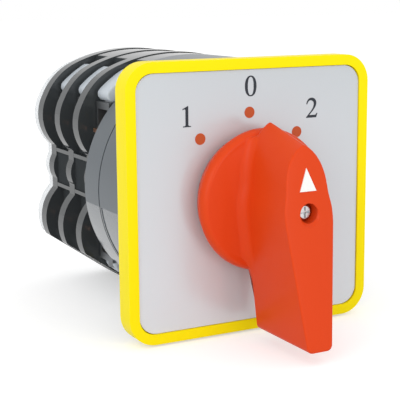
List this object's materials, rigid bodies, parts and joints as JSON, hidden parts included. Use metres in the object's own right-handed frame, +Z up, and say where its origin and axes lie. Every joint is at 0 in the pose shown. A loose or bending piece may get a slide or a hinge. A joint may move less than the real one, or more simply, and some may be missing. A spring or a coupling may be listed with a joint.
{
  "type": "rotary cam switch",
  "caption": "Panel-mounted rotary cam changeover switch: square front frame with a dial and a pointed grip handle, and stacked contact stages with screw terminals behind.",
  "frame": {"origin": "on the shaft's axis, in the rear face of the front frame that lies on the panel", "axes": "+X to the right as the user faces the dial, +Y back through the panel along the shaft, +Z up"},
  "size_m": [0.064, 0.104, 0.065],
  "materials": {
    "frame_yellow": "satin yellow moulding",
    "dial_silver": "silver sheet with a matt lacquer",
    "handle_red": "satin orange-red moulding",
    "pointer_white": "gloss white",
    "steel": "zinc plated",
    "spring_steel": "bright drawn",
    "body_grey": "gloss dark grey moulding",
    "stage_black": "gloss black moulding",
    "cream_plastic": "matt cream moulding",
    "contact_copper": "bright copper alloy",
    "clamp_zinc": "zinc plated",
    "cover_milky": "milky translucent moulding"
  },
  "bodies": {
    "switch_body": {"bezel_frame": "frame_yellow", "dial_plate": "dial_silver", "mounting_flange": "body_grey", "detent_housing": "body_grey", "detent_spring_left": "spring_steel", "detent_spring_right": "spring_steel", "stage_housing_1": "stage_black", "stage_housing_2": "stage_black", "stage_housing_3": "stage_black", "fixed_contacts_1": "contact_copper", "fixed_contacts_2": "contact_copper", "fixed_contacts_3": "contact_copper", "terminal_clamps_1": "clamp_zinc", "terminal_clamps_2": "clamp_zinc", "terminal_clamps_3": "clamp_zinc", "terminal_screws_1": "clamp_zinc", "terminal_screws_2": "clamp_zinc", "terminal_screws_3": "clamp_zinc", "terminal_covers_1": "cover_milky", "terminal_covers_2": "cover_milky", "terminal_covers_3": "cover_milky", "clamping_bolts": "steel", "bolt_washers": "steel", "bolt_nuts": "steel"},
    "rotor": {"handle": "handle_red", "pointer_insert": "pointer_white", "handle_screw": "steel", "handle_washer": "steel", "shaft": "steel", "detent_wheel": "cream_plastic", "cam_1": "cream_plastic", "cam_2": "cream_plastic", "cam_3": "cream_plastic"},
    "left_contact_1": {"contact_carrier_left_1": "cream_plastic", "contact_bridge_left_1": "contact_copper", "contact_spring_left_1": "spring_steel"},
    "left_contact_2": {"contact_carrier_left_2": "cream_plastic", "contact_bridge_left_2": "contact_copper", "contact_spring_left_2": "spring_steel"},
    "left_contact_3": {"contact_carrier_left_3": "cream_plastic", "contact_bridge_left_3": "contact_copper", "contact_spring_left_3": "spring_steel"},
    "right_contact_1": {"contact_carrier_right_1": "cream_plastic", "contact_bridge_right_1": "contact_copper", "contact_spring_right_1": "spring_steel"},
    "right_contact_2": {"contact_carrier_right_2": "cream_plastic", "contact_bridge_right_2": "contact_copper", "contact_spring_right_2": "spring_steel"},
    "right_contact_3": {"contact_carrier_right_3": "cream_plastic", "contact_bridge_right_3": "contact_copper", "contact_spring_right_3": "spring_steel"}
  },
  "joints": [
    {"name": "handle_turn", "type": "hinge", "parent": "switch_body", "child": "rotor", "pos_m": [0, 0, 0], "axis": [0, 1, 0], "range_deg": [-45, 45], "deforming": ["detent_spring_left", "detent_spring_right"]},
    {"name": "left_contact_travel_1", "type": "slide", "parent": "switch_body", "child": "left_contact_1", "axis": [-1, 0, 0], "range_m": [-0.0016, 0.0016], "deforming": ["contact_spring_left_1"]},
    {"name": "left_contact_travel_2", "type": "slide", "parent": "switch_body", "child": "left_contact_2", "axis": [-1, 0, 0], "range_m": [-0.0016, 0.0016], "deforming": ["contact_spring_left_2"]},
    {"name": "left_contact_travel_3", "type": "slide", "parent": "switch_body", "child": "left_contact_3", "axis": [-1, 0, 0], "range_m": [-0.0016, 0.0016], "deforming": ["contact_spring_left_3"]},
    {"name": "right_contact_travel_1", "type": "slide", "parent": "switch_body", "child": "right_contact_1", "axis": [1, 0, 0], "range_m": [-0.0016, 0.0016], "deforming": ["contact_spring_right_1"]},
    {"name": "right_contact_travel_2", "type": "slide", "parent": "switch_body", "child": "right_contact_2", "axis": [1, 0, 0], "range_m": [-0.0016, 0.0016], "deforming": ["contact_spring_right_2"]},
    {"name": "right_contact_travel_3", "type": "slide", "parent": "switch_body", "child": "right_contact_3", "axis": [1, 0, 0], "range_m": [-0.0016, 0.0016], "deforming": ["contact_spring_right_3"]}
  ],
  "couplings": [
    {"joint": "left_contact_travel_1", "follows": "handle_turn", "m_per_rad": 0.0020372},
    {"joint": "left_contact_travel_2", "follows": "handle_turn", "m_per_rad": 0.0020372},
    {"joint": "left_contact_travel_3", "follows": "handle_turn", "m_per_rad": 0.0020372},
    {"joint": "right_contact_travel_1", "follows": "handle_turn", "m_per_rad": -0.0020372},
    {"joint": "right_contact_travel_2", "follows": "handle_turn", "m_per_rad": -0.0020372},
    {"joint": "right_contact_travel_3", "follows": "handle_turn", "m_per_rad": -0.0020372}
  ]
}
